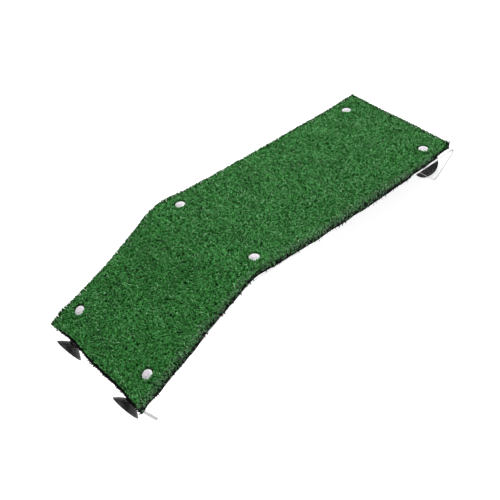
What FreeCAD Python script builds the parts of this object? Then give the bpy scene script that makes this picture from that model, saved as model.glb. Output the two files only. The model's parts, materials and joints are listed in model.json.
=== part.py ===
import FreeCAD, Part
import math
import os

# Basking platform for an aquarium: a clear plate, bent by heat, carries a strip of turf. Its level part
# is the resting deck, and its long part is the ramp that leads down into the water.
# Millimetres. X runs from the aquarium's wall out along the ramp, Y across the plate, and Z up. The
# origin is on the wall, midway between the two wall suction cups, where their lips touch the glass.

# Plate
PLATE_WIDTH = 150.0
PLATE_THICKNESS = 3.0
DECK_LENGTH = 156.0  # level, from the turf's end to the corner of the fold, along the plate's top
RAMP_LENGTH = 308.5  # sloping, from the corner of the fold to the turf's other end
FOLD_ANGLE = 27.5  # the ramp's slope, in degrees
FOLD_RADIUS = 62.5  # of the plate's top face, where the deck turns into the ramp
WALL_BEND_ANGLE = 90.0
FOOT_BEND_ANGLE = 140.0  # the foot flange is folded back under the ramp
FLANGE_BEND_RADIUS = 5.0  # of the outer face
WALL_BEND_REACH = 0.5  # how far the bend stands out past the turf's end
FOOT_BEND_REACH = 8.5
WALL_FLANGE_DROP = 32.0  # from the deck's top face to the flange's free edge
FOOT_FLANGE_LENGTH = 36.0  # the flat stretch after the bend
FLANGE_CORNER_RADIUS = 3.0

# Turf: a woven backing with a looped pile standing on it
BACKING_THICKNESS = 1.6
TURF_THICKNESS = 10.0

# Rivets: three pairs of two-part push rivets, through the turf and the plate
RIVET_SPACING = 118.0  # across the plate
RIVET_FROM_WALL_END = 29.5  # along the deck, from the turf's end
RIVET_FROM_FOLD = 24.2  # along the ramp, from the corner of the fold
RIVET_FROM_FOOT_END = 28.0  # along the ramp, from the turf's end
RIVET_HEAD_DIAMETER = 11.0
RIVET_HEAD_HEIGHT = 2.1
RIVET_SEAT_HEIGHT = 8.0  # of the head's underside above the plate, on pile that it has pressed flat
RIVET_EDGE_HEIGHT = 0.6  # of the head's upright rim
RIVET_SHANK_DIAMETER = 5.0
RIVET_BORE_DIAMETER = 2.8
RIVET_HOLE_DIAMETER = 5.3
RIVET_BARB_DIAMETER = 7.4  # of the spread legs, under the plate
RIVET_BARB_LENGTH = 6.0
RIVET_BARB_LAND = 1.2  # the length of the barb's widest part
RIVET_TIP_DIAMETER = 4.4
RIVET_SLOT_WIDTH = 0.9
RIVET_SLOT_RISE = 1.0  # how far the slots run up into the shank, above the plate's underside
PIN_HEAD_DIAMETER = 5.4
PIN_RECESS_DEPTH = 1.0
PIN_RECESS_DIAMETER = 5.8
PIN_DIAMETER = 2.6
PIN_TIP_LENGTH = 1.2
PIN_TIP_DIAMETER = 1.4
PIN_PROUD = 0.25  # how far the pin's head stands out of the rivet's dome
NEST_GAP = 0.4  # between the rivet's head and the pile round it
FACE_GAP = 0.05  # between faces that rest on each other

# Suction cups: a dome with a thin lip, a neck through the flange and a mushroom head behind it
CUP_DIAMETER = 32.0
CUP_STANDOFF = 9.3  # from the flange's outer face to the lip's plane
CUP_COLLAR_DIAMETER = 12.5
CUP_COLLAR_HEIGHT = 1.6
CUP_BACK_SAG = 1.1  # how far the dome's back is hollowed from a straight cone
CUP_LIP_THICKNESS = 0.5
CUP_LIP_WIDTH = 0.6
CUP_HOLLOW_DEPTH = 4.6
CUP_HOLLOW_FLOOR_DIAMETER = 8.0
CUP_NECK_DIAMETER = 6.0
CUP_NECK_CLEARANCE = 0.08  # all round, in the flange's hole
CUP_HEAD_DIAMETER = 9.6
CUP_HEAD_HEIGHT = 4.6
CUP_HEAD_RIM = 1.2
CUP_HEAD_TOP_DIAMETER = 6.0
CUP_GAP = 0.2  # between the rubber and each face of the flange
WALL_CUP_DEPTH = 10.0  # from the deck's top face down to the wall cups' axes
WALL_CUP_SPACING = 102.0
FOOT_CUP_ALONG = 23.4  # from the end of the foot's bend, along the flange
FOOT_CUP_SPACING = 96.0

UP = FreeCAD.Vector(0, 0, 1)
ACROSS = FreeCAD.Vector(0, 1, 0)
OVERRUN = 1.0  # how far a cutting tool runs past what it cuts

wall_face_x = CUP_STANDOFF
deck_top_z = WALL_CUP_DEPTH
turf_start_x = wall_face_x + WALL_BEND_REACH
fold_x = turf_start_x + DECK_LENGTH
fold_tangent = FOLD_RADIUS * math.tan(math.radians(FOLD_ANGLE / 2))
wall_bend_inset = FLANGE_BEND_RADIUS - WALL_BEND_REACH  # from the turf's end to where the bend meets the deck
foot_bend_inset = FLANGE_BEND_RADIUS - FOOT_BEND_REACH


def direction(degrees):
    """The unit vector in the XZ plane at an angle up from +X."""
    angle = math.radians(degrees)
    return FreeCAD.Vector(math.cos(angle), 0, math.sin(angle))


def deck_point(from_turf_end):
    """A point on the deck's top face, at y = 0."""
    return FreeCAD.Vector(turf_start_x + from_turf_end, 0, deck_top_z)


def ramp_point(from_fold):
    """A point on the ramp's top face, at y = 0."""
    return FreeCAD.Vector(fold_x, 0, deck_top_z) + direction(-FOLD_ANGLE) * from_fold


def path_steps(with_flanges):
    """The plate's top and outer face from the wall end to the foot end, as straight runs and right-hand
    bends: ("run", length) and ("bend", radius, degrees)."""
    deck_run = ("run", DECK_LENGTH - wall_bend_inset - fold_tangent)
    ramp_run = ("run", RAMP_LENGTH - foot_bend_inset - fold_tangent)
    fold = ("bend", FOLD_RADIUS, FOLD_ANGLE)
    if with_flanges:
        return [
            ("run", WALL_FLANGE_DROP - FLANGE_BEND_RADIUS),
            ("bend", FLANGE_BEND_RADIUS, WALL_BEND_ANGLE),
            deck_run,
            fold,
            ramp_run,
            ("bend", FLANGE_BEND_RADIUS, FOOT_BEND_ANGLE),
            ("run", FOOT_FLANGE_LENGTH),
        ]
    return [
        ("run", DECK_LENGTH - fold_tangent),
        fold,
        ("run", RAMP_LENGTH - fold_tangent),
    ]


def ribbon(start, heading, steps, low, high):
    """A strip as wide as the plate, between two offsets from the path that starts at a point with a
    heading in degrees. Offsets are positive on the top and outer side."""
    low_edges = []
    high_edges = []
    point = start
    ends = [(point + direction(heading + 90) * low, point + direction(heading + 90) * high)]
    for step in steps:
        outward = direction(heading + 90)
        if step[0] == "run":
            after = point + direction(heading) * step[1]
            middle = None
        else:
            centre = point - outward * step[1]
            half = direction(heading + 90 - step[2] / 2)
            heading -= step[2]
            after = centre + direction(heading + 90) * step[1]
            middle = [centre + half * (step[1] + offset) for offset in (low, high)]
        outward = direction(heading + 90)
        new_ends = (after + outward * low, after + outward * high)
        for index, edges in enumerate((low_edges, high_edges)):
            if middle is None:
                curve = Part.LineSegment(ends[-1][index], new_ends[index])
            else:
                curve = Part.Arc(ends[-1][index], middle[index], new_ends[index])
            edges.append(curve.toShape())
        ends.append(new_ends)
        point = after
    close_start = Part.LineSegment(ends[0][0], ends[0][1]).toShape()
    close_end = Part.LineSegment(ends[-1][0], ends[-1][1]).toShape()
    outline = Part.Wire(Part.__sortEdges__(low_edges + [close_end] + high_edges + [close_start]))
    face = Part.Face(outline)
    face.translate(ACROSS * (-PLATE_WIDTH / 2))
    return face.extrude(ACROSS * PLATE_WIDTH)


def placed(shape, point, axis):
    """The shape, made about the origin along +Z, moved to a point and turned along an axis."""
    moved = shape.copy()
    moved.Placement = FreeCAD.Placement(point, FreeCAD.Rotation(UP, axis))
    return moved


def revolved(corners):
    """A solid of revolution about Z, from a closed outline of (radius, height) corners."""
    points = [FreeCAD.Vector(r, 0, h) for r, h in corners]
    face = Part.Face(Part.makePolygon(points + points[:1]))
    return face.revolve(FreeCAD.Vector(0, 0, 0), UP, 360)


def rod(diameter, low, high):
    """A cylinder along Z."""
    return Part.makeCylinder(diameter / 2, high - low, FreeCAD.Vector(0, 0, low))


def rivet_seats():
    """Where each rivet goes: (name, point on the plate's top face, outward axis)."""
    rows = [
        ("wall", deck_point(RIVET_FROM_WALL_END), UP),
        ("fold", ramp_point(RIVET_FROM_FOLD), direction(90 - FOLD_ANGLE)),
        ("foot", ramp_point(RAMP_LENGTH - RIVET_FROM_FOOT_END), direction(90 - FOLD_ANGLE)),
    ]
    seats = []
    for row, point, axis in rows:
        for side, sign in (("left", 1), ("right", -1)):
            seats.append((f"{row}_{side}", point + ACROSS * (sign * RIVET_SPACING / 2), axis))
    return seats


def cup_seats():
    """Where each cup goes: (name, point on the flange's outer face, outward axis)."""
    wall_point = FreeCAD.Vector(wall_face_x, 0, deck_top_z - WALL_CUP_DEPTH)
    foot_heading = -FOLD_ANGLE - FOOT_BEND_ANGLE
    bend_top = ramp_point(RAMP_LENGTH - foot_bend_inset)
    bend_centre = bend_top - direction(90 - FOLD_ANGLE) * FLANGE_BEND_RADIUS
    foot_axis = direction(foot_heading + 90)
    foot_point = bend_centre + foot_axis * FLANGE_BEND_RADIUS + direction(foot_heading) * FOOT_CUP_ALONG
    rows = [
        ("wall", wall_point, direction(180), WALL_CUP_SPACING),
        ("foot", foot_point, foot_axis, FOOT_CUP_SPACING),
    ]
    seats = []
    for row, point, axis, spacing in rows:
        for side, sign in (("left", 1), ("right", -1)):
            seats.append((f"{row}_cup_{side}", point + ACROSS * (sign * spacing / 2), axis))
    return seats


def round_flange_corners(plate):
    """The plate with its four free corners rounded."""
    corners = []
    for edge in plate.Edges:
        along_y = abs(edge.tangentAt(edge.FirstParameter).y) if edge.Curve.TypeId == "Part::GeomLine" else 1
        at_side = all(abs(abs(v.Y) - PLATE_WIDTH / 2) < FACE_GAP for v in edge.Vertexes)
        short = abs(edge.Length - PLATE_THICKNESS) < FACE_GAP
        if along_y < FACE_GAP and at_side and short:
            corners.append(edge)
    return plate.makeFillet(FLANGE_CORNER_RADIUS, corners)


def acrylic_plate():
    start = FreeCAD.Vector(wall_face_x, 0, deck_top_z - WALL_FLANGE_DROP)
    plate = round_flange_corners(ribbon(start, 90, path_steps(True), -PLATE_THICKNESS, 0))
    for _, point, axis in rivet_seats():
        hole = rod(RIVET_HOLE_DIAMETER, -PLATE_THICKNESS - OVERRUN, OVERRUN)
        plate = plate.cut(placed(hole, point, axis))
    for _, point, axis in cup_seats():
        diameter = CUP_NECK_DIAMETER + 2 * CUP_NECK_CLEARANCE
        hole = rod(diameter, -PLATE_THICKNESS - OVERRUN, OVERRUN)
        plate = plate.cut(placed(hole, point, axis))
    return plate


def turf_backing():
    backing = ribbon(deck_point(0), 0, path_steps(False), FACE_GAP, BACKING_THICKNESS)
    for _, point, axis in rivet_seats():
        hole = rod(RIVET_HOLE_DIAMETER, -OVERRUN, BACKING_THICKNESS + OVERRUN)
        backing = backing.cut(placed(hole, point, axis))
    return backing


def turf_pile():
    pile = ribbon(deck_point(0), 0, path_steps(False), BACKING_THICKNESS + FACE_GAP, TURF_THICKNESS)
    nest_diameter = RIVET_HEAD_DIAMETER + 2 * NEST_GAP
    for _, point, axis in rivet_seats():
        hole = rod(RIVET_HOLE_DIAMETER, 0, TURF_THICKNESS + OVERRUN)
        nest = rod(nest_diameter, RIVET_SEAT_HEIGHT - FACE_GAP, TURF_THICKNESS + OVERRUN)
        pile = pile.cut(placed(hole.fuse(nest), point, axis))
    return pile


def rivet_body():
    """The flanged half of a rivet, with its origin on the plate's top face: a low dome that holds the
    turf down, a tubular shank, and four legs that the pin has spread under the plate."""
    head_r = RIVET_HEAD_DIAMETER / 2
    shank_r = RIVET_SHANK_DIAMETER / 2
    seat = RIVET_SEAT_HEIGHT
    top = seat + RIVET_HEAD_HEIGHT
    underside = -PLATE_THICKNESS - FACE_GAP
    tip = underside - RIVET_BARB_LENGTH
    dome_rise = RIVET_HEAD_HEIGHT - RIVET_EDGE_HEIGHT
    dome_r = (head_r**2 + dome_rise**2) / (2 * dome_rise)
    dome = Part.makeSphere(dome_r, FreeCAD.Vector(0, 0, top - dome_r))
    head = dome.common(rod(RIVET_HEAD_DIAMETER, seat, top + OVERRUN))
    shank = rod(RIVET_SHANK_DIAMETER, underside, seat + OVERRUN / 2)
    legs = revolved([
        (0, underside),
        (shank_r, underside),
        (RIVET_BARB_DIAMETER / 2, underside),
        (RIVET_BARB_DIAMETER / 2, underside - RIVET_BARB_LAND),
        (RIVET_TIP_DIAMETER / 2, tip),
        (0, tip),
    ])
    body = head.fuse(shank).fuse(legs).removeSplitter()
    body = body.cut(rod(RIVET_BORE_DIAMETER, tip - OVERRUN, top + OVERRUN))
    body = body.cut(rod(PIN_RECESS_DIAMETER, top - PIN_RECESS_DEPTH, top + OVERRUN))
    slot_top = -PLATE_THICKNESS + RIVET_SLOT_RISE
    slot = Part.makeBox(
        RIVET_BARB_DIAMETER + OVERRUN,
        RIVET_SLOT_WIDTH,
        slot_top - tip + OVERRUN,
        FreeCAD.Vector(-(RIVET_BARB_DIAMETER + OVERRUN) / 2, -RIVET_SLOT_WIDTH / 2, tip - OVERRUN),
    )
    crossing = slot.copy()
    crossing.rotate(FreeCAD.Vector(0, 0, 0), UP, 90)
    return body.cut(slot).cut(crossing)


def rivet_pin():
    """The plunger that is pushed into a rivet's bore."""
    head_low = RIVET_SEAT_HEIGHT + RIVET_HEAD_HEIGHT - PIN_RECESS_DEPTH + FACE_GAP
    head_top = RIVET_SEAT_HEIGHT + RIVET_HEAD_HEIGHT + PIN_PROUD
    tip = -PLATE_THICKNESS - RIVET_BARB_LENGTH
    pin_r = PIN_DIAMETER / 2
    head_r = PIN_HEAD_DIAMETER / 2
    return revolved([
        (0, tip),
        (PIN_TIP_DIAMETER / 2, tip),
        (pin_r, tip + PIN_TIP_LENGTH),
        (pin_r, head_low),
        (head_r, head_low),
        (head_r, head_top - PIN_PROUD),
        (head_r - PIN_PROUD, head_top),
        (0, head_top),
    ])


def suction_cup():
    """A cup with its origin on the flange's outer face and its lip towards +Z."""
    lip_r = CUP_DIAMETER / 2
    collar_r = CUP_COLLAR_DIAMETER / 2
    neck_r = CUP_NECK_DIAMETER / 2
    head_r = CUP_HEAD_DIAMETER / 2
    collar_top = CUP_GAP + CUP_COLLAR_HEIGHT
    lip_back = CUP_STANDOFF - CUP_LIP_THICKNESS
    head_low = -PLATE_THICKNESS - CUP_GAP
    head_top = head_low - CUP_HEAD_HEIGHT
    back_middle_r = (collar_r + lip_r) / 2 - CUP_BACK_SAG
    back_middle_height = (collar_top + lip_back) / 2 + CUP_BACK_SAG
    return revolved([
        (0, CUP_STANDOFF - CUP_HOLLOW_DEPTH),
        (CUP_HOLLOW_FLOOR_DIAMETER / 2, CUP_STANDOFF - CUP_HOLLOW_DEPTH),
        (lip_r - CUP_LIP_WIDTH, CUP_STANDOFF),
        (lip_r, CUP_STANDOFF),
        (lip_r, lip_back),
        (back_middle_r, back_middle_height),
        (collar_r, collar_top),
        (collar_r, CUP_GAP),
        (neck_r, CUP_GAP),
        (neck_r, head_low),
        (head_r, head_low),
        (head_r, head_low - CUP_HEAD_RIM),
        (CUP_HEAD_TOP_DIAMETER / 2, head_top),
        (0, head_top),
    ])


def main():
    nodes = {
        "acrylic_plate": acrylic_plate(),
        "turf_backing": turf_backing(),
        "turf_pile": turf_pile(),
    }
    body = rivet_body()
    pin = rivet_pin()
    for name, point, axis in rivet_seats():
        nodes[f"rivet_body_{name}"] = placed(body, point, axis)
        nodes[f"rivet_pin_{name}"] = placed(pin, point, axis)
    cup = suction_cup()
    for name, point, axis in cup_seats():
        nodes[f"suction_{name}"] = placed(cup, point, axis)
        print(f"{name}: seat {point}, axis {axis}, lip centre {point + axis * CUP_STANDOFF}")

    os.makedirs("parts", exist_ok=True)
    for name, shape in nodes.items():
        box = shape.BoundBox
        print(f"{name}: valid {shape.isValid()}, solids {len(shape.Solids)}, {shape.Volume:.1f} mm3, "
              f"x {box.XMin:.2f} {box.XMax:.2f}, y {box.YMin:.2f} {box.YMax:.2f}, "
              f"z {box.ZMin:.2f} {box.ZMax:.2f}")
        shape.exportStep(f"parts/{name}.step")


main()
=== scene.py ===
import json
import math

import bpy
import numpy as np
from mathutils import Matrix, Vector, noise


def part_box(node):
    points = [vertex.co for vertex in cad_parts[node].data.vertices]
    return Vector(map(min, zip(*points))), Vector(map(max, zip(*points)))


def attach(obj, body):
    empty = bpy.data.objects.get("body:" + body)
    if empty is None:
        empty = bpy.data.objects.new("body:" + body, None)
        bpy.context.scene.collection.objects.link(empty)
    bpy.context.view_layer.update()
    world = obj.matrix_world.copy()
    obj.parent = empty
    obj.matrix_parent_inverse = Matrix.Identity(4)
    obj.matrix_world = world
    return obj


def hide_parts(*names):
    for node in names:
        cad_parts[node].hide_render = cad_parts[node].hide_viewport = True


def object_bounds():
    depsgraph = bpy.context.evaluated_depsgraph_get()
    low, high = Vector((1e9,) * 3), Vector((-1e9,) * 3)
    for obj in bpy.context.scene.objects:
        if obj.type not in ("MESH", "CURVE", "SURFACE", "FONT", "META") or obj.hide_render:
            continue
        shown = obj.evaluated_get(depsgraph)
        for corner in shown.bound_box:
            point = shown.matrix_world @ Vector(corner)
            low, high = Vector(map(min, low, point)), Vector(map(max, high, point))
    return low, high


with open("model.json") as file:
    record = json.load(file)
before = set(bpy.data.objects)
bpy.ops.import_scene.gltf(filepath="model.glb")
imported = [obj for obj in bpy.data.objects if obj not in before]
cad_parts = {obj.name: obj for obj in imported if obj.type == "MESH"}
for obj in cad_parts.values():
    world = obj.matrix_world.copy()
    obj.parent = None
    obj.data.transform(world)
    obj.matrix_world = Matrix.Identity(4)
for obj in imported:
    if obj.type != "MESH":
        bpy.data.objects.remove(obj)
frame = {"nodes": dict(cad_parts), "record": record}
cad_box = [list(corner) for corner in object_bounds()]

MM = 0.001
ROOT = "platform"

# The plate's top face, as part.py makes it, in metres
DECK_LENGTH = 156.0 * MM  # from the turf's wall end to the corner of the fold
RAMP_LENGTH = 308.5 * MM  # from the corner of the fold to the turf's foot end
FOLD_ANGLE = math.radians(27.5)
FOLD_RADIUS = 62.5 * MM
TURF_WIDTH = 150.0 * MM
BACKING_TOP = 1.6 * MM
PILE_TOP = 10.0 * MM

TURF_START_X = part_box("turf_backing")[0][0]
PLATE_TOP_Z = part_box("acrylic_plate")[1][2]
TANGENT = FOLD_RADIUS * math.tan(FOLD_ANGLE / 2)
LEVEL_LENGTH = DECK_LENGTH - TANGENT
ARC_LENGTH = FOLD_RADIUS * FOLD_ANGLE
TURF_LENGTH = LEVEL_LENGTH + ARC_LENGTH + RAMP_LENGTH - TANGENT

# Parts of the plate that look different: the sawn ends of its two flanges, which are frosted, and
# the flanges with their bends, whose frosted edges get painted shade. Each is where a point's
# measure along every direction given is under its limit
ALONG_X, UPWARD = (1.0, 0.0, 0.0), (0.0, 0.0, 1.0)
UP_RAMP = (-math.cos(FOLD_ANGLE), 0.0, math.sin(FOLD_ANGLE))
ALONG_FOOT = (0.9763, 0.0, 0.2164)  # from the foot flange's free end towards its bend
UNDER_RAMP = ((math.sin(FOLD_ANGLE), 0.0, math.cos(FOLD_ANGLE)), 81.5 * MM)
FLANGE_ENDS = (
    ((UPWARD, -21.7 * MM), (ALONG_X, 20.0 * MM)),
    ((ALONG_FOOT, 364.1 * MM), UNDER_RAMP, (UPWARD, -120.0 * MM)),
)
FLANGES = (
    ((ALONG_X, 14.3 * MM),),
    (UNDER_RAMP, (UPWARD, -100.0 * MM)),
    ((UP_RAMP, -451.5 * MM),),
)

# Rivets, along the turf's length and across it
RIVET_Y = 59.0 * MM
RIVET_ROWS = (
    29.5 * MM,
    LEVEL_LENGTH + ARC_LENGTH + 24.2 * MM - TANGENT,
    TURF_LENGTH - 28.0 * MM,
)
RIVET_SEAT = 8.0 * MM  # the height of the heads' undersides


# ---------------------------------------------------------------- geometry helpers


def lay(s, y, h):
    """Points on the bent plate: s along its top from the turf's wall end, y across, h above it."""
    s, y, h = (np.asarray(v, float) for v in (s, y, h))
    angle = np.clip((s - LEVEL_LENGTH) / FOLD_RADIUS, 0, FOLD_ANGLE)
    along = s - LEVEL_LENGTH - FOLD_RADIUS * angle
    x = TURF_START_X + LEVEL_LENGTH + (FOLD_RADIUS + h) * np.sin(angle) + along * np.cos(angle)
    z = PLATE_TOP_Z - FOLD_RADIUS + (FOLD_RADIUS + h) * np.cos(angle) - along * np.sin(angle)
    return np.stack(np.broadcast_arrays(x, y, z), axis=-1)


def wander(values, scale, seed):
    """Smooth noise from about -1 to 1 along a line, one value for each place."""
    return np.array([noise.noise(Vector((v / scale, seed * 7.31, 0.5))) for v in np.ravel(values)])


def smooth_object(name, mesh):
    """A new object in the scene, with a smooth-shaded mesh."""
    mesh.shade_smooth()
    piece = bpy.data.objects.new(name, mesh)
    bpy.context.scene.collection.objects.link(piece)
    return piece


def fast_quads(name, points, quads):
    """A smooth mesh object from many quads at once."""
    mesh = bpy.data.meshes.new(name)
    mesh.vertices.add(len(points))
    mesh.vertices.foreach_set("co", np.asarray(points, np.float32).ravel())
    mesh.loops.add(quads.size)
    mesh.loops.foreach_set("vertex_index", quads.astype(np.int32).ravel())
    mesh.polygons.add(len(quads))
    mesh.polygons.foreach_set("loop_start", np.arange(0, quads.size, 4, dtype=np.int32))
    mesh.update(calc_edges=True)
    return smooth_object(name, mesh)


def point_value(piece, name, values):
    """Stores one number at each point of a piece, for its material to read."""
    layer = piece.data.attributes.new(name, "FLOAT", "POINT")
    layer.data.foreach_set("value", np.asarray(values, np.float32).ravel())


# ---------------------------------------------------------------- the turf's hand-cut outline

# How far the cut runs outside the nominal rectangle, in millimetres, at places along each side
NEAR_CUT = {
    0: 1.9, 10: 1.0, 26: 1.9, 50: 1.3, 58: 1.9, 74: 1.8, 100: 0.6, 138: 1.3, 154: 0.7, 172: -0.8,
    190: 0.7, 226: 1.3, 250: 2.1, 262: 1.5, 274: 1.7, 290: 2.2, 346: 2.0, 370: 1.8, 386: 1.9,
    396: 0.5, 420: 0.6, 434: -0.8, 446: -2.6, 456: -2.8, 464: -2.8,
}
FAR_CUT = {
    0: 2.6, 14: 4.2, 30: 1.8, 42: 0.0, 58: -0.6, 70: -1.6, 86: -2.2, 110: -1.7, 140: 0.0, 155: 2.0,
    164: 3.0, 178: 3.4, 186: 1.8, 204: 0.5, 240: -0.3, 330: 0.0, 362: 0.7, 400: 0.9, 430: 1.8,
    450: 3.6, 464: 4.1,
}
WALL_CUT = {
    -75: 1.7, -60: 0.9, -46: 0.0, -32: 0.0, -10: 0.9, 4: 1.3, 20: 0.3, 36: -0.9, 52: -0.2,
    66: 1.2, 75: 1.7,
}
FOOT_CUT = {-75: 3.2, -66: 0.6, -50: 1.4, -30: 2.2, 0: 2.5, 30: 2.1, 50: 2.8, 75: 3.8}
CUT_WANDER = 0.35 * MM  # how far the cut strays from those tables
CUT_SCALE = 9.0 * MM
# How wide a strip of backing shows at the wall end, where no tufts stand, along that side
WALL_BARE = {-75: 3.4, -55: 4.4, 40: 4.5, 62: 2.8, 75: 0.8}


def read(table, places):
    """A table's values at places along one side, in metres."""
    return np.interp(places, np.array(list(table)) * MM, np.array(list(table.values())) * MM)


def cut(table, places, seed):
    """How far out the cut is at places along one side, in metres."""
    known = read(table, places)
    return known + CUT_WANDER * wander(places, CUT_SCALE, seed).reshape(np.shape(places))


def outline(u, v, inset=0.0, bare=0):
    """(s, y) for shares u of the turf's length and v of its width, inset from its cut edges. bare
    is 1 for what keeps off the bare strip at the wall end, and 0 for what doesn't."""
    u, v = (np.asarray(a, float) for a in (u, v))
    s, y = u * TURF_LENGTH, (v - 0.5) * TURF_WIDTH
    low, high = cut(NEAR_CUT, s, 1) - inset, cut(FAR_CUT, s, 2) - inset
    first = cut(WALL_CUT, y, 3) - inset - bare * read(WALL_BARE, y)
    last = cut(FOOT_CUT, y, 4) - inset
    return s - first * (1 - u) + last * u, y - low * (1 - v) + high * v


def hold_in(s, y, slack, bare):
    """Pulls places that stray over the cut most of the way back to it."""
    inside_s, inside_y = s.clip(0, TURF_LENGTH), y.clip(-TURF_WIDTH / 2, TURF_WIDTH / 2)
    along, across = inside_s.ravel(), inside_y.ravel()
    low = -TURF_WIDTH / 2 - cut(NEAR_CUT, along, 1).reshape(s.shape)
    high = TURF_WIDTH / 2 + cut(FAR_CUT, along, 2).reshape(s.shape)
    first = (bare * read(WALL_BARE, across) - cut(WALL_CUT, across, 3)).reshape(s.shape)
    last = TURF_LENGTH + cut(FOOT_CUT, across, 4).reshape(s.shape)
    held_s, held_y = s.clip(first, last), y.clip(low, high)
    return held_s + (s - held_s) * slack, held_y + (y - held_y) * slack


def near_rivet(s, y):
    """The distance from each place to the nearest rivet's axis."""
    away = [np.hypot(s - row, y - side) for row in RIVET_ROWS for side in (-RIVET_Y, RIVET_Y)]
    return np.min(away, axis=0)


# ---------------------------------------------------------------- materials


MIX_SHARE, MIX_A, MIX_B, MIX_RESULT = 0, 6, 7, 2  # a Mix node's sockets for colours


def is_socket(value):
    return isinstance(value, bpy.types.NodeSocket)


class Nodes:
    """A material's node tree, with short ways to add and join its nodes."""

    def __init__(self, name):
        self.material = bpy.data.materials.new(name)
        self.material.use_nodes = True
        self.tree = self.material.node_tree
        self.shader = self.tree.nodes["Principled BSDF"]

    def add(self, kind, **inputs):
        made = self.tree.nodes.new(kind)
        for key, value in inputs.items():
            made.inputs[key.replace("_", " ")].default_value = value
        return made

    def join(self, source, target):
        self.tree.links.new(source, target)

    def set(self, **values):
        for key, value in values.items():
            self.shader.inputs[key.replace("_", " ")].default_value = value

    def ramp(self, source, stops):
        made = self.add("ShaderNodeValToRGB")
        elements = made.color_ramp.elements
        while len(elements) < len(stops):
            elements.new(0.5)
        for element, (place, colour) in zip(elements, stops):
            element.position = place
            element.color = (*colour, 1.0)
        self.join(source, made.inputs["Fac"])
        return made.outputs["Color"]

    def noise(self, scale, detail=3.0, roughness=0.5):
        place = self.add("ShaderNodeTexCoord")
        made = self.add("ShaderNodeTexNoise", Scale=scale, Detail=detail, Roughness=roughness)
        self.join(place.outputs["Object"], made.inputs["Vector"])
        return made.outputs["Fac"]

    def mix(self, share, a, b, blend="MIX"):
        made = self.tree.nodes.new("ShaderNodeMix")
        made.data_type = "RGBA"
        made.blend_type = blend
        for value, socket in ((share, MIX_SHARE), (a, MIX_A), (b, MIX_B)):
            if is_socket(value):
                self.join(value, made.inputs[socket])
            else:
                made.inputs[socket].default_value = value if socket == MIX_SHARE else (*value, 1.0)
        return made.outputs[MIX_RESULT]

    def span(self, source, low, high):
        made = self.add("ShaderNodeMapRange", To_Min=low, To_Max=high)
        self.join(source, made.inputs["Value"])
        return made.outputs["Result"]

    def value(self, name):
        made = self.tree.nodes.new("ShaderNodeAttribute")
        made.attribute_name = name
        return made.outputs["Fac"]

    def math(self, operation, a, b=0.0):
        made = self.tree.nodes.new("ShaderNodeMath")
        made.operation = operation
        for value, socket in zip((a, b), made.inputs):
            if is_socket(value):
                self.join(value, socket)
            else:
                socket.default_value = value
        return made.outputs["Value"]

    def within(self, position, regions):
        """1 where a position is in one of the regions, and 0 elsewhere. Each region is a set of
        (direction, limit), and holds what measures less than the limit along every direction."""
        found = 0.0
        for planes in regions:
            inside = 1.0
            for direction, limit in planes:
                measure = self.add("ShaderNodeVectorMath")
                measure.operation = "DOT_PRODUCT"
                self.join(position, measure.inputs[0])
                measure.inputs[1].default_value = direction
                below = self.math("LESS_THAN", measure.outputs["Value"], limit)
                inside = self.math("MULTIPLY", inside, below)
            found = self.math("MAXIMUM", found, inside)
        return found

    def bump(self, source, strength, distance):
        made = self.add("ShaderNodeBump", Strength=strength, Distance=distance)
        self.join(source, made.inputs["Height"])
        self.join(made.outputs["Normal"], self.shader.inputs["Normal"])


def blade_material():
    """Green tape yarn: each blade has its own green, with painted shade that darkens it towards its
    root.
    """
    n = Nodes("turf_blade")
    # shade holds each blade's own random tone, lowered by painted shade along the far edge, the
    # foot end and the near edge's foot corner
    own = n.ramp(n.value("shade"), [
        (0.0, (0.005, 0.075, 0.006)),
        (0.2, (0.013, 0.165, 0.015)),
        (0.5, (0.028, 0.252, 0.032)),
        (0.8, (0.076, 0.345, 0.082)),
        (1.0, (0.195, 0.465, 0.190)),
    ])
    dusty = n.mix(n.value("worn"), own, (0.15, 0.22, 0.15))
    patches = n.ramp(n.noise(38.0), [(0.3, (0.80, 0.80, 0.80)), (0.7, (1.0, 1.0, 1.0))])
    tinted = n.mix(1.0, dusty, patches, "MULTIPLY")
    # Painted shade: each blade is darkened towards its root, where the pile shades it.
    depth = n.ramp(n.value("along"), [(0.0, (0.10, 0.13, 0.11)), (0.55, (1.0, 1.0, 1.0))])
    n.join(n.mix(1.0, tinted, depth, "MULTIPLY"), n.shader.inputs["Base Color"])
    n.join(n.span(n.noise(900.0, 1.0), 0.34, 0.56), n.shader.inputs["Roughness"])
    n.bump(n.noise(2400.0, 1.0), 0.25, 0.0002)
    n.set(Specular_IOR_Level=0.4)
    return n.material


def mat_material():
    """The crushed roots of the pile, coloured near black: painted shade between the blades."""
    n = Nodes("turf_roots")
    # Painted shade: the roots are near black where the blades shade them.
    n.join(n.ramp(n.noise(420.0, 4.0), [
        (0.35, (0.001, 0.008, 0.002)),
        (0.7, (0.006, 0.034, 0.008)),
    ]), n.shader.inputs["Base Color"])
    n.join(n.span(n.noise(260.0), 0.75, 0.95), n.shader.inputs["Roughness"])
    n.bump(n.noise(700.0, 4.0), 0.8, 0.001)
    return n.material


def backing_material():
    """Black woven polypropylene with a rubbery coat."""
    n = Nodes("turf_backing")
    place = n.add("ShaderNodeTexCoord")
    weave = n.add("ShaderNodeTexWave", Scale=160.0, Distortion=0.6)
    weave.bands_direction = "DIAGONAL"
    n.join(place.outputs["Object"], weave.inputs["Vector"])
    n.join(n.ramp(n.noise(120.0, 5.0), [
        (0.3, (0.0015, 0.0018, 0.0015)),
        (0.75, (0.007, 0.008, 0.007)),
    ]), n.shader.inputs["Base Color"])
    n.join(n.span(n.noise(300.0), 0.7, 0.92), n.shader.inputs["Roughness"])
    n.bump(weave.outputs["Fac"], 0.6, 0.0004)
    n.set(Specular_IOR_Level=0.2)
    return n.material


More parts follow.
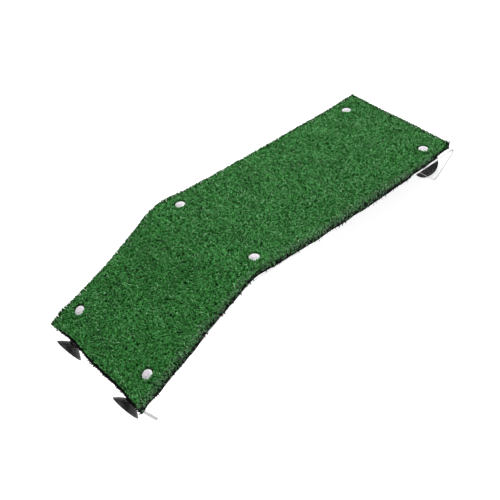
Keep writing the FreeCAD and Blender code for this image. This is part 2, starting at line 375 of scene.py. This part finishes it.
def stitch_material():
    """The same yarn pulled tight under the backing."""
    n = Nodes("turf_stitch")
    n.join(n.ramp(n.noise(240.0), [
        (0.3, (0.008, 0.045, 0.012)),
        (0.7, (0.026, 0.110, 0.030)),
    ]), n.shader.inputs["Base Color"])
    n.join(n.span(n.noise(500.0), 0.5, 0.75), n.shader.inputs["Roughness"])
    n.bump(n.noise(1800.0), 0.4, 0.0002)
    return n.material


def acrylic_material():
    """Clear acrylic: polished faces with faint waves, and frosted sawn edges, with painted shade
    on the flanges."""
    n = Nodes("clear_acrylic")
    geometry = n.tree.nodes.new("ShaderNodeNewGeometry")
    facing = n.tree.nodes.new("ShaderNodeSeparateXYZ")
    n.join(geometry.outputs["True Normal"], facing.inputs["Vector"])
    sides = n.math("ABSOLUTE", facing.outputs["Y"])
    sawn = n.math("MAXIMUM", sides, n.within(geometry.outputs["Position"], FLANGE_ENDS))
    frost = n.add("ShaderNodeMapRange", From_Min=0.5, From_Max=0.9)
    n.join(sawn, frost.inputs["Value"])
    grain = n.span(n.noise(700.0, 4.0), 0.55, 1.0)
    frosted = n.math("MULTIPLY", frost.outputs["Result"], grain)
    polish = n.span(n.noise(55.0, 6.0), 0.0, 0.045)
    rough = n.math("ADD", polish, n.math("MULTIPLY", frosted, 0.4))
    n.join(rough, n.shader.inputs["Roughness"])
    n.join(n.span(frosted, 1.0, 0.12), n.shader.inputs["Transmission Weight"])
    tint = n.ramp(n.noise(9.0), [(0.2, (0.950, 0.968, 0.966)), (0.8, (0.980, 0.988, 0.986))])
    # Painted shade: the frosted edges on the flanges are painted grey.
    on_flange = n.within(geometry.outputs["Position"], FLANGES)
    flange_edge_shade = n.math("MULTIPLY", frost.outputs["Result"], on_flange)
    n.join(n.mix(flange_edge_shade, tint, (0.56, 0.56, 0.58)), n.shader.inputs["Base Color"])
    n.bump(n.noise(14.0, 2.0), 0.05, 0.0006)
    n.set(IOR=1.49)
    return n.material


def nylon_material(name, low, high, rough):
    """Translucent white nylon, a little cloudy."""
    n = Nodes(name)
    n.join(n.ramp(n.noise(260.0, 4.0), [(0.3, low), (0.7, high)]), n.shader.inputs["Base Color"])
    n.join(n.span(n.noise(600.0, 3.0), rough, rough + 0.16), n.shader.inputs["Roughness"])
    n.bump(n.noise(900.0, 2.0), 0.12, 0.0002)
    n.set(Subsurface_Weight=0.35, Subsurface_Radius=(0.004, 0.0036, 0.0036), IOR=1.53)
    n.shader.inputs["Subsurface Scale"].default_value = 0.5
    return n.material


def rubber_material():
    """Soft black rubber with a faint bloom and moulding grain."""
    n = Nodes("cup_rubber")
    n.join(n.ramp(n.noise(90.0, 5.0, 0.6), [
        (0.3, (0.003, 0.0025, 0.003)),
        (0.75, (0.010, 0.008, 0.0095)),
    ]), n.shader.inputs["Base Color"])
    n.join(n.span(n.noise(160.0, 4.0), 0.36, 0.58), n.shader.inputs["Roughness"])
    n.bump(n.noise(1300.0, 3.0), 0.15, 0.0002)
    n.set(Specular_IOR_Level=0.42)
    return n.material


# ---------------------------------------------------------------- turf

EDGE_SHARES = (0.0, 0.0012, 0.003, 0.0055, 0.009, 0.0135)  # of the width, finer beside the cut
DROOP = 1.1  # down for each step out past the plate's near edge
DROOP_FREE = 0.2 * MM  # the first of it that stays level


def shares(count, length):
    """Steps from 0 to 1 along a side, finer near its two ends."""
    fine = np.array(EDGE_SHARES) * TURF_WIDTH / length
    middle = np.linspace(2 * fine[-1] - fine[-2], 1 - 2 * fine[-1] + fine[-2], count)
    return np.concatenate([fine, middle, 1 - fine[::-1]])


def droop(y):
    """How far the turf hangs down where it stands out past the plate's near edge."""
    return DROOP * np.maximum(-y - TURF_WIDTH / 2 - DROOP_FREE, 0)


def shell(name, steps, low, high, inset, bare, jag, seed):
    """A closed bent slab inside the turf's outline, of so many steps along and across. low and high
    give its heights at each place, and jag is how far its cut edge goes in and out at random."""
    u, v = np.meshgrid(shares(steps[0], TURF_LENGTH), shares(steps[1], TURF_WIDTH), indexing="ij")
    s, y = outline(u, v, inset, bare)
    columns, rows = s.shape
    draw = np.random.default_rng(seed)
    torn = draw.uniform(0, jag, (4, max(columns, rows)))
    y[:, 0] += torn[0, :columns]
    y[:, -1] -= torn[1, :columns]
    s[0, :] += torn[2, :rows]
    s[-1, :] -= torn[3, :rows]
    top = lay(s, y, high(s, y) - droop(y)).reshape(-1, 3)
    bottom = lay(s, y, low(s, y) - droop(y)).reshape(-1, 3)
    index = np.arange(columns * rows).reshape(columns, rows)
    a, b = index[:-1, :-1].ravel(), index[1:, :-1].ravel()
    c, d = index[1:, 1:].ravel(), index[:-1, 1:].ravel()
    lower = columns * rows
    faces = [np.stack([a, b, c, d], 1), np.stack([d, c, b, a], 1) + lower]
    rims = (index[:, 0][::-1], index[:, -1], index[0, :], index[-1, :][::-1])
    for rim in rims:
        faces.append(np.stack([rim[:-1], rim[1:], rim[1:] + lower, rim[:-1] + lower], 1))
    return fast_quads(name, np.concatenate([top, bottom]), np.concatenate(faces))


def height_field(base, amount, scale, seed):
    """A height that wanders about base."""

    def at(s, y):
        flat = zip(np.ravel(s), np.ravel(y))
        bumps = [noise.noise(Vector((a / scale, b / scale, seed))) for a, b in flat]
        return base + amount * np.array(bumps).reshape(np.shape(s))

    return at


BACKING_UNDERSIDE = 0.45 * MM  # it lies on its stitches
BACKING_STEPS = (310, 100)
BACKING_JAG = 0.9 * MM


def make_backing(material):
    """The sheet itself, a little uneven on both faces."""
    low = height_field(BACKING_UNDERSIDE, 0.12 * MM, 3 * MM, 1)
    high = height_field(BACKING_TOP, 0.15 * MM, 4 * MM, 2)
    backing = shell(
        "turf_backing_sheet", BACKING_STEPS, low, high,
        inset=0.0, bare=0, jag=BACKING_JAG, seed=11,
    )
    backing.data.materials.append(material)
    return backing


ROOTS_TOP = 4.0 * MM
ROOTS_STEPS = (232, 76)
ROOTS_INSET = 1.3 * MM
ROOTS_JAG = 0.8 * MM
PAD_R = 6.2 * MM  # of the pad under a rivet's head
PAD_SLOPE = 1.2 * MM
PAD_TOP = RIVET_SEAT - 0.15 * MM


def make_roots(material):
    """The matted foot of the pile, which the rivets' heads have pressed into firm pads."""
    rough = height_field(ROOTS_TOP, 1.3 * MM, 2.6 * MM, 3)

    def high(s, y):
        pad = np.clip((PAD_R - near_rivet(s, y)) / PAD_SLOPE, 0, 1)
        return rough(s, y) * (1 - pad) + PAD_TOP * pad

    def low(s, y):
        return np.full(np.shape(s), BACKING_TOP - 0.1 * MM)

    roots = shell(
        "turf_pile_roots", ROOTS_STEPS, low, high,
        inset=ROOTS_INSET, bare=1, jag=ROOTS_JAG, seed=12,
    )
    roots.data.materials.append(material)
    return roots


BLADE_STEPS = 5
BLADE_TAPER = (0.9, 1.0, 1.0, 0.8, 0.3)  # a blade's width at each step
HEADING_SPREAD = 0.7  # radians, as are the next three
BLADE_CURL = (0.6, 2.8)
BLADE_ROLL = 1.0
BLADE_TWIST = 0.7
BLADE_PEAK = (0.45, 0.8)  # how far along a blade its highest point is
TIP_SAG = (0.2 * MM, 2.2 * MM)
SHADE_SPREAD = 0.22
UNDER_HEAD = RIVET_SEAT - 0.2 * MM  # how high blades stand where a rivet's head holds them down
HEAD_COVER_R = 4.9 * MM  # how far out it does so
NEST_SHIFT = (0.5 * MM, 1.5 * MM)  # the pile has parted more on this side of each rivet
PARTED_R = 6.9 * MM
PARTED_TOP = 4.0 * MM
LEANING_R = 4.2 * MM  # blades that lean over a head reach in to this radius
LEANING_TOP = 10.5 * MM
WORN_WIDTH = 5.5 * MM  # of the dusty strip along the near edge
WORN_MOST = 0.9
RIM_WIDTH = 2.0 * MM  # of the blades along the far edge and the foot end that get painted shade
RIM_PAINTED_SHADE = 0.32
CORNER_R = 8.0 * MM  # of the corner at the near edge's foot end, where the blades get painted shade
CORNER_PAINTED_SHADE = 0.9
CORNER_LENGTH = 20.0 * MM  # of the near edge beside it, where the frayed backing stands up
CORNER_LIFT = 4.5 * MM


def make_blades(name, s, y, draw, material, top, root, reach, width, slack, lean=None, lift=0.0,
                bare=1, shade=0.5, over_heads=False):
    """Curled tape blades, rooted at s, y. top and root are the heights of their highest points and
    of their roots, reach is their length on plan, and width their width, each (low, high). slack is
    how much of a stray over the cut is kept, lean the direction that each blade sets off in, or
    None for any, and lift what is added to top. bare is as in outline(), shade is how light the
    blades are, from 0 to 1, and over_heads is whether they lean over the rivets' heads."""
    count = len(s)
    t = np.linspace(0, 1, BLADE_STEPS)[None, :]
    any_way = draw.uniform(0, 2 * np.pi, (count, 1))
    if lean is None:
        heading = any_way
    else:
        heading = lean[:, None] + draw.normal(0, HEADING_SPREAD, (count, 1))
    curl = draw.choice([-1, 1], (count, 1)) * draw.uniform(*BLADE_CURL, (count, 1))
    heading = heading + curl * t
    step = draw.uniform(*reach, (count, 1)) / (BLADE_STEPS - 1)
    ds = np.cumsum(step * np.cos(heading), 1) - step * np.cos(heading)
    dy = np.cumsum(step * np.sin(heading), 1) - step * np.sin(heading)
    s, y = hold_in(s[:, None] + ds, y[:, None] + dy, slack, bare)
    peak = draw.uniform(*BLADE_PEAK, (count, 1))
    summit = draw.uniform(*top, (count, 1)) + lift
    foot = draw.uniform(*root, (count, 1))
    sag = draw.uniform(*TIP_SAG, (count, 1))
    up = foot + (summit - foot) * (1 - (1 - np.minimum(t / peak, 1)) ** 2)
    h = up - sag * (np.maximum(t - peak, 0) / (1 - peak)) ** 2
    twist = draw.uniform(-BLADE_ROLL, BLADE_ROLL, (count, 1))
    roll = twist + draw.normal(0, BLADE_TWIST, (count, 1)) * t
    half = draw.uniform(*width, (count, 1)) / 2 * np.array(BLADE_TAPER)[None, :]
    parted = near_rivet(s - NEST_SHIFT[0], y - NEST_SHIFT[1]) < PARTED_R
    ceiling = LEANING_TOP if over_heads else np.where(parted, PARTED_TOP, PILE_TOP)
    covered_r = LEANING_R if over_heads else HEAD_COVER_R
    ceiling = np.where(near_rivet(s, y) < covered_r, UNDER_HEAD, ceiling)
    rows = []
    for side in (-1, 1):
        rows.append(lay(
            s - side * np.sin(heading) * np.cos(roll) * half,
            y + side * np.cos(heading) * np.cos(roll) * half,
            np.minimum(h + side * np.sin(roll) * half, ceiling) - droop(y),
        ))
    points = np.stack(rows, axis=2).reshape(-1, 3)
    base = (np.arange(count) * BLADE_STEPS * 2)[:, None]
    ring = np.arange(BLADE_STEPS - 1)[None, :] * 2
    first = (base + ring).ravel()
    piece = fast_quads(name, points, np.stack([first, first + 2, first + 3, first + 1], 1))
    tip_s, tip_y = s[:, -1:], y[:, -1:]
    rim = np.minimum(TURF_WIDTH / 2 - tip_y, TURF_LENGTH - tip_s)
    corner = np.hypot(TURF_LENGTH - tip_s, TURF_WIDTH / 2 + tip_y)
    # Painted shade: blades are darkened along the far edge and the foot end.
    dark = RIM_PAINTED_SHADE * np.clip(1 - rim / RIM_WIDTH, 0, 1)
    # Painted shade: blades are darkened near the near edge's foot corner.
    dark = dark + CORNER_PAINTED_SHADE * np.clip(1 - corner / CORNER_R, 0, 1)
    own = np.clip(draw.normal(shade, SHADE_SPREAD, (count, 1)) - dark, 0, 1)
    near_edge = np.clip(1 - (y[:, :1] + TURF_WIDTH / 2) / WORN_WIDTH, 0, 1)
    worn = near_edge * draw.uniform(0, WORN_MOST, (count, 1))
    point_value(piece, "shade", np.repeat(own, BLADE_STEPS * 2, axis=1))
    point_value(piece, "worn", np.repeat(worn, BLADE_STEPS * 2, axis=1))
    point_value(piece, "along", np.repeat(np.broadcast_to(t, (count, BLADE_STEPS)), 2, axis=1))
    piece.data.materials.append(material)
    return piece


# The tufts stand in rows along the turf, one at each stitch of the backing
ROW_GAUGE = 4.4 * MM
STITCH_STEP = 3.4 * MM
STAGGER = 0.25  # of a stitch, forwards in one row and back in the next
TUFT_INSET = 0.8 * MM
TUFT_BLADES = 13
NEST_R = 5.6 * MM  # no tuft stands within this distance of a rivet's nest


def tufts():
    """Where the tufts stand, none of them under a rivet's head."""
    along, across = int(TURF_LENGTH / STITCH_STEP), int(TURF_WIDTH / ROW_GAUGE)
    steps, rows = (np.arange(along) + 0.5) / along, (np.arange(across) + 0.5) / across
    u, v = np.meshgrid(steps, rows, indexing="ij")
    u = u + STAGGER / along * np.where(np.arange(across) % 2, 1, -1)[None, :]
    s, y = outline(u.ravel(), v.ravel(), TUFT_INSET, 1)
    kept = near_rivet(s - NEST_SHIFT[0], y - NEST_SHIFT[1]) > NEST_R
    return s[kept], y[kept]


PILE_STRETCHES = 4
TUFT_SPREAD = (0.75 * MM, 0.9 * MM)  # of the blades of one tuft, along and across
SWELL = 0.5 * MM  # how much the pile's height drifts over the turf
SWELLS = 30.0  # to a metre


def make_pile(material):
    """The pile, in stretches along the turf so that no one mesh is too heavy."""
    tuft_s, tuft_y = tufts()
    pieces = []
    for k in range(PILE_STRETCHES):
        draw = np.random.default_rng(100 + k)
        mine = np.floor(tuft_s / TURF_LENGTH * PILE_STRETCHES).clip(0, PILE_STRETCHES - 1) == k
        s = np.repeat(tuft_s[mine], TUFT_BLADES)
        y = np.repeat(tuft_y[mine], TUFT_BLADES)
        s = s + draw.normal(0, TUFT_SPREAD[0], len(s))
        y = y + draw.normal(0, TUFT_SPREAD[1], len(y))
        drift = np.array([noise.noise(Vector((a * SWELLS, b * SWELLS, 9.0))) for a, b in zip(s, y)])
        pieces.append(make_blades(
            f"turf_pile_{k + 1}", s, y, draw, material,
            top=(7.6 * MM, 9.8 * MM), root=(2.4 * MM, 4.0 * MM), reach=(2.6 * MM, 6.2 * MM),
            width=(0.75 * MM, 1.25 * MM), slack=0.25, lift=SWELL * drift[:, None],
        ))
    return pieces


COLLAR_BLADES = 70  # to a rivet
COLLAR_R = (6.0 * MM, 7.2 * MM)
COLLAR_ARC = (-3.4, -1.0)  # round each rivet, in radians, where the pile leans over the head


def make_collars(material):
    """Blades that lean over the near rim of each rivet's head."""
    draw = np.random.default_rng(300)
    s, y, lean = [], [], []
    for row in RIVET_ROWS:
        for side in (-RIVET_Y, RIVET_Y):
            around = draw.uniform(*COLLAR_ARC, COLLAR_BLADES)
            radius = draw.uniform(*COLLAR_R, COLLAR_BLADES)
            s.append(row + radius * np.cos(around))
            y.append(side + radius * np.sin(around))
            lean.append(around + np.pi / 2)
    return make_blades(
        "turf_pile_collars", np.concatenate(s), np.concatenate(y), draw, material,
        top=(9.7 * MM, 10.5 * MM), root=(4.0 * MM, 6.5 * MM), reach=(1.2 * MM, 2.8 * MM),
        width=(0.7 * MM, 1.2 * MM), slack=0.2, lean=np.concatenate(lean), over_heads=True,
    )


NEAR, FAR, WALL, FOOT = -np.pi / 2, np.pi / 2, np.pi, 0.0  # the directions out of the four sides
RIM_DEPTH = 2.2 * MM  # how far in from the cut the rim's blades and the frayed ends are rooted
CLUMP_STEP = 4.4 * MM
CLUMP_WANDER = 20.0 * MM
FRAY_SPACING = 0.36 * MM
FRAY_CLUMPED = 0.48


def rim_places(side, spacing, bare, clumped, draw):
    """Places along one side of the turf's outline, and the direction out of it at each. clumped is
    how far they gather in clumps, from 0 to 0.5."""
    is_long = side in (NEAR, FAR)
    length = TURF_LENGTH if is_long else TURF_WIDTH
    count = int(length / spacing)
    free = (np.arange(count) + draw.random(count)) / count
    shifted = free * length / CLUMP_STEP + wander(free * length, CLUMP_WANDER, side)
    wave = np.cos(2 * np.pi * shifted)
    free = free[draw.random(count) < 1 - clumped + clumped * wave]
    held = np.full(len(free), 1.0 if side in (FAR, FOOT) else 0.0)
    s, y = outline(free, held, 0.0, bare) if is_long else outline(held, free, 0.0, bare)
    back = RIM_DEPTH * draw.random(len(free))
    return s - np.cos(side) * back, y - np.sin(side) * back, np.full(len(free), side)


def make_rim(blade, black):
    """The cut edge: blades left standing in it, and frayed black ends of the backing."""
    draw = np.random.default_rng(200)
    standing = []
    # The far and foot rims' blades are set darker than the others: painted shade along those edges.
    for name, side, top, reach, spacing, clumped, shade in (
        ("near", NEAR, (3.0 * MM, 8.8 * MM), (1.2 * MM, 3.6 * MM), 0.42 * MM, 0.5, 0.5),
        ("far", FAR, (8.0 * MM, 10.2 * MM), (0.8 * MM, 2.4 * MM), 0.2 * MM, 0.15, 0.35),
        ("wall", WALL, (4.0 * MM, 8.6 * MM), (0.8 * MM, 2.6 * MM), 0.42 * MM, 0.4, 0.45),
        ("foot", FOOT, (8.2 * MM, 10.2 * MM), (0.8 * MM, 2.4 * MM), 0.2 * MM, 0.1, 0.35),
    ):
        s, y, out = rim_places(side, spacing, 1, clumped, draw)
        standing.append(make_blades(
            f"turf_pile_{name}_rim", s, y, draw, blade,
            top=top, root=(1.6 * MM, 3.4 * MM), reach=reach,
            width=(0.7 * MM, 1.2 * MM), slack=0.3 if side == NEAR else 0.1,
            lean=out + draw.normal(0, 0.9, len(out)), shade=shade,
        ))
    frayed = []
    for name, side, highest, furthest in (
        ("near", NEAR, 6.5 * MM, 2.0 * MM),
        ("far", FAR, 4.0 * MM, 2.0 * MM),
        ("wall", WALL, 5.0 * MM, 3.4 * MM),
        ("foot", FOOT, 4.0 * MM, 2.0 * MM),
    ):
        s, y, out = rim_places(side, FRAY_SPACING, 0, FRAY_CLUMPED, draw)
        lift = np.zeros(len(s))
        if side == NEAR:
            lift = CORNER_LIFT * np.clip(1 - (TURF_LENGTH - s) / CORNER_LENGTH, 0, 1)
        frayed.append(make_blades(
            f"turf_backing_{name}_fray", s, y, draw, black,
            top=(-0.8 * MM, highest), root=(0.2 * MM, 1.5 * MM), reach=(0.5 * MM, furthest),
            width=(0.7 * MM, 1.4 * MM), slack=0.7, lean=out, lift=lift[:, None], bare=0,
        ))
    return standing, frayed


STITCH_HALF = (1.45 * MM, 0.62 * MM)  # half a stitch, along and across
STITCH_RINGS = ((1.0, 0.50 * MM), (0.9, 0.26 * MM), (0.55, 0.14 * MM))  # (share of it, height)
STITCH_MARGIN = (2.0 * MM, 1.5 * MM)


def make_stitches(material):
    """The stitches that hold the tufts, on the backing's underside."""
    sides = 8
    turn = np.arange(sides) * 2 * np.pi / sides
    s, y = tufts()
    inside = np.abs(y) < TURF_WIDTH / 2 - STITCH_MARGIN[1]
    inside &= np.abs(s - TURF_LENGTH / 2) < TURF_LENGTH / 2 - STITCH_MARGIN[0]
    s, y = s[inside], y[inside]
    rings = []
    for size, height in STITCH_RINGS:
        rings.append(lay(
            s[:, None] + STITCH_HALF[0] * size * np.cos(turn)[None, :],
            y[:, None] + STITCH_HALF[1] * size * np.sin(turn)[None, :],
            height,
        ))
    points = np.stack(rings, axis=1).reshape(-1, 3)
    base = (np.arange(len(s)) * sides * 3)[:, None, None]
    level = (np.arange(2) * sides)[None, :, None]
    k = np.arange(sides)[None, None, :]
    following = (k + 1) % sides
    quads = np.stack(np.broadcast_arrays(
        base + level + k, base + level + following,
        base + level + sides + following, base + level + sides + k,
    ), axis=-1).reshape(-1, 4)
    flat = base[:, :, 0] + 2 * sides
    caps = [flat + np.array([corners]) for corners in ((0, 1, 2, 3), (0, 3, 4, 7), (4, 5, 6, 7))]
    stitches = fast_quads("turf_stitches", points, np.concatenate([quads, *caps]))
    stitches.data.materials.append(material)
    return stitches


# ---------------------------------------------------------------- suction cups

CUP_SEGMENTS = 96
SPLINE_STEPS = 4
LIP_HEIGHT = 9.3  # these three in millimetres
HOLLOW_DEPTH = 4.5
HOLLOW_R = 15.2
HOLLOW_ROUND = 0.8


def spline(points):
    """Points along a smooth line through the given (radius, height) points."""
    ends = [points[0], *points, points[-1]]
    made = []
    for p0, p1, p2, p3 in zip(ends, ends[1:], ends[2:], ends[3:]):
        p0, p1, p2, p3 = (np.array(p, float) for p in (p0, p1, p2, p3))
        for t in np.arange(SPLINE_STEPS) / SPLINE_STEPS:
            made.append(0.5 * (
                2 * p1 + (p2 - p0) * t + (2 * p0 - 5 * p1 + 4 * p2 - p3) * t**2
                + (3 * p1 - p0 - 3 * p2 + p3) * t**3
            ))
    return [tuple(p) for p in made] + [tuple(points[-1])]


def cup_outline():
    """The cup's half section in millimetres, as (radius, height), height 0 on the flange's outer
    face. It runs from the middle of the hollow, over the lip and down the back to the mushroom
    head."""
    hollow = []
    for r in np.linspace(0, 12.0, 13):
        depth = HOLLOW_DEPTH * math.cos(r / HOLLOW_R * math.pi / 2) ** HOLLOW_ROUND
        hollow.append((r, LIP_HEIGHT - depth))
    seal = [
        (12.4, 7.75), (12.6, 7.62), (12.8, 7.88), (13.6, 8.35), (13.8, 8.25), (14.0, 8.6),
        (15.2, 9.2),
    ]
    lip = [(15.6, LIP_HEIGHT), (15.95, 9.26), (16.0, 9.05), (15.8, 8.8)]
    back = spline([(15.8, 8.8), (13.8, 7.0), (11.8, 5.35), (9.7, 3.85), (8.0, 2.7), (6.7, 2.0)])
    collar = [(6.45, 1.95), (6.25, 1.7), (6.25, 0.45), (6.0, 0.22), (3.4, 0.22), (3.0, 0.0)]
    neck = [(3.0, -2.9), (3.2, -3.2)]
    head = spline([(4.5, -3.2), (4.8, -3.5), (4.7, -4.4), (4.1, -6.2), (3.2, -7.4), (2.2, -7.75)])
    dimple = [(1.6, -7.7), (1.3, -7.3), (0.9, -7.15), (0.0, -7.1)]
    return hollow + seal + lip + back[1:] + collar + neck + head + dimple


def lathe(name, section, segments):
    """A closed turned mesh from a half section that starts and ends on the axis."""
    ring = np.arange(segments) * 2 * np.pi / segments
    points = [(0.0, 0.0, section[0][1])]
    for r, h in section[1:-1]:
        points.extend((r * math.cos(a), r * math.sin(a), h) for a in ring)
    points.append((0.0, 0.0, section[-1][1]))
    faces = []
    for k in range(segments):
        following = (k + 1) % segments
        faces.append((0, 1 + k, 1 + following))
        for level in range(len(section) - 3):
            low = 1 + level * segments
            high = low + segments
            faces.append((low + k, high + k, high + following, low + following))
        last = 1 + (len(section) - 3) * segments
        faces.append((last + k, len(points) - 1, last + following))
    mesh = bpy.data.meshes.new(name)
    mesh.from_pydata((np.array(points) * MM).tolist(), [], faces)
    mesh.update()
    return smooth_object(name, mesh)


def make_cups(material):
    """The four suction cups, each on its own joint's axis."""
    section = cup_outline()
    for joint in frame["record"]["behaviour"]["joints"]:
        place = joint["child"].replace("_body", "")
        cup = lathe(f"{place}_rubber", section, CUP_SEGMENTS)
        turn = Vector((0, 0, 1)).rotation_difference(Vector(joint["axis"])).to_matrix().to_4x4()
        cup.data.transform(Matrix.Translation(joint["pos_m"]) @ turn)
        cup.data.materials.append(material)
        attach(cup, joint["child"])
        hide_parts(f"suction_{place}")


# ---------------------------------------------------------------- CAD nodes that stay


BEVEL_SEGMENTS = 3
BEVEL_FROM = math.radians(35)  # softer edges than this stay as they are


def dress(node, material, bevel):
    """Gives a CAD node its material and softens its edges."""
    piece = frame["nodes"][node]
    piece.data.materials.clear()
    piece.data.materials.append(material)
    softened = piece.modifiers.new("soft_edges", "BEVEL")
    softened.width = bevel
    softened.segments = BEVEL_SEGMENTS
    softened.limit_method = "ANGLE"
    softened.angle_limit = BEVEL_FROM
    softened.harden_normals = True


def dress_rivets():
    shell_nylon = nylon_material("rivet_nylon", (0.60, 0.59, 0.62), (0.70, 0.69, 0.72), 0.3)
    pin_nylon = nylon_material("pin_nylon", (0.56, 0.51, 0.56), (0.64, 0.59, 0.64), 0.34)
    for node in frame["nodes"]:
        if node.startswith("rivet_body"):
            dress(node, shell_nylon, 0.25 * MM)
        elif node.startswith("rivet_pin"):
            dress(node, pin_nylon, 0.15 * MM)


# ---------------------------------------------------------------- stage


FLOOR_SIZE = 12.0
FLOOR_MIDDLE_X = 0.2
FLOOR_GAP = 0.5 * MM  # below the lowest cup
WORLD_STRENGTH = 0.55
KEY_LIGHT = {"place": (1.4, 0.38, 1.0), "size": 1.2, "power": 23.5}
FILL_LIGHT = {"place": (-0.9, -1.2, 1.2), "size": 1.6, "power": 12.5}


def make_stage(floor_z):
    """A pale floor, which glows a little so that it comes out white."""
    bpy.ops.mesh.primitive_plane_add(size=FLOOR_SIZE, location=(FLOOR_MIDDLE_X, 0, floor_z))
    floor = bpy.context.object
    floor.name = "floor"
    n = Nodes("floor_white")
    n.set(Base_Color=(0.85, 0.85, 0.85, 1.0), Roughness=0.9, Emission_Strength=0.62)
    n.shader.inputs["Emission Color"].default_value = (1.0, 1.0, 1.0, 1.0)
    floor.data.materials.append(n.material)


def area_light(name, target, place, size, power):
    """A round soft light at place, which points at target."""
    data = bpy.data.lights.new(name, "AREA")
    data.shape = "DISK"
    data.size = size
    data.energy = power
    lamp = bpy.data.objects.new(name, data)
    lamp.location = place
    lamp.rotation_euler = (Vector(target) - Vector(place)).to_track_quat("-Z", "Y").to_euler()
    bpy.context.scene.collection.objects.link(lamp)


def make_lights(middle):
    world = bpy.data.worlds.new("studio")
    world.use_nodes = True
    background = world.node_tree.nodes["Background"]
    background.inputs["Color"].default_value = (1.0, 1.0, 1.0, 1.0)
    background.inputs["Strength"].default_value = WORLD_STRENGTH
    bpy.context.scene.world = world
    area_light("key", middle, **KEY_LIGHT)
    area_light("fill", middle, **FILL_LIGHT)


CAMERA_PLACE = (0.10692, -0.51179, 0.64495)
CAMERA_TURN = (28.885, 23.172, -46.235)  # degrees, XYZ
CAMERA_LENS = 57.98  # mm, with the sensor below
CAMERA_SENSOR = 36.0


def make_camera():
    data = bpy.data.cameras.new("camera")
    data.lens = CAMERA_LENS
    data.sensor_width = CAMERA_SENSOR
    data.clip_start = 0.01
    camera = bpy.data.objects.new("camera", data)
    camera.location = CAMERA_PLACE
    camera.rotation_euler = [math.radians(a) for a in CAMERA_TURN]
    bpy.context.scene.collection.objects.link(camera)
    bpy.context.scene.camera = camera


# ---------------------------------------------------------------- the whole

make_camera()

blade = blade_material()
black = backing_material()
backing = make_backing(black)
roots = make_roots(mat_material())
stitches = make_stitches(stitch_material())
pile = make_pile(blade)
pile.append(make_collars(blade))
standing, frayed = make_rim(blade, black)
for piece in (backing, *frayed, stitches):
    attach(piece, ROOT)
for piece in (roots, *standing, *pile):
    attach(piece, ROOT)
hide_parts("turf_backing")
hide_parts("turf_pile")

dress("acrylic_plate", acrylic_material(), 0.35 * MM)
dress_rivets()
make_cups(rubber_material())

low, high = (Vector(corner) for corner in cad_box)
make_stage(low.z - FLOOR_GAP)
make_lights((low + high) / 2)
bpy.context.scene.view_settings.view_transform = "Standard"
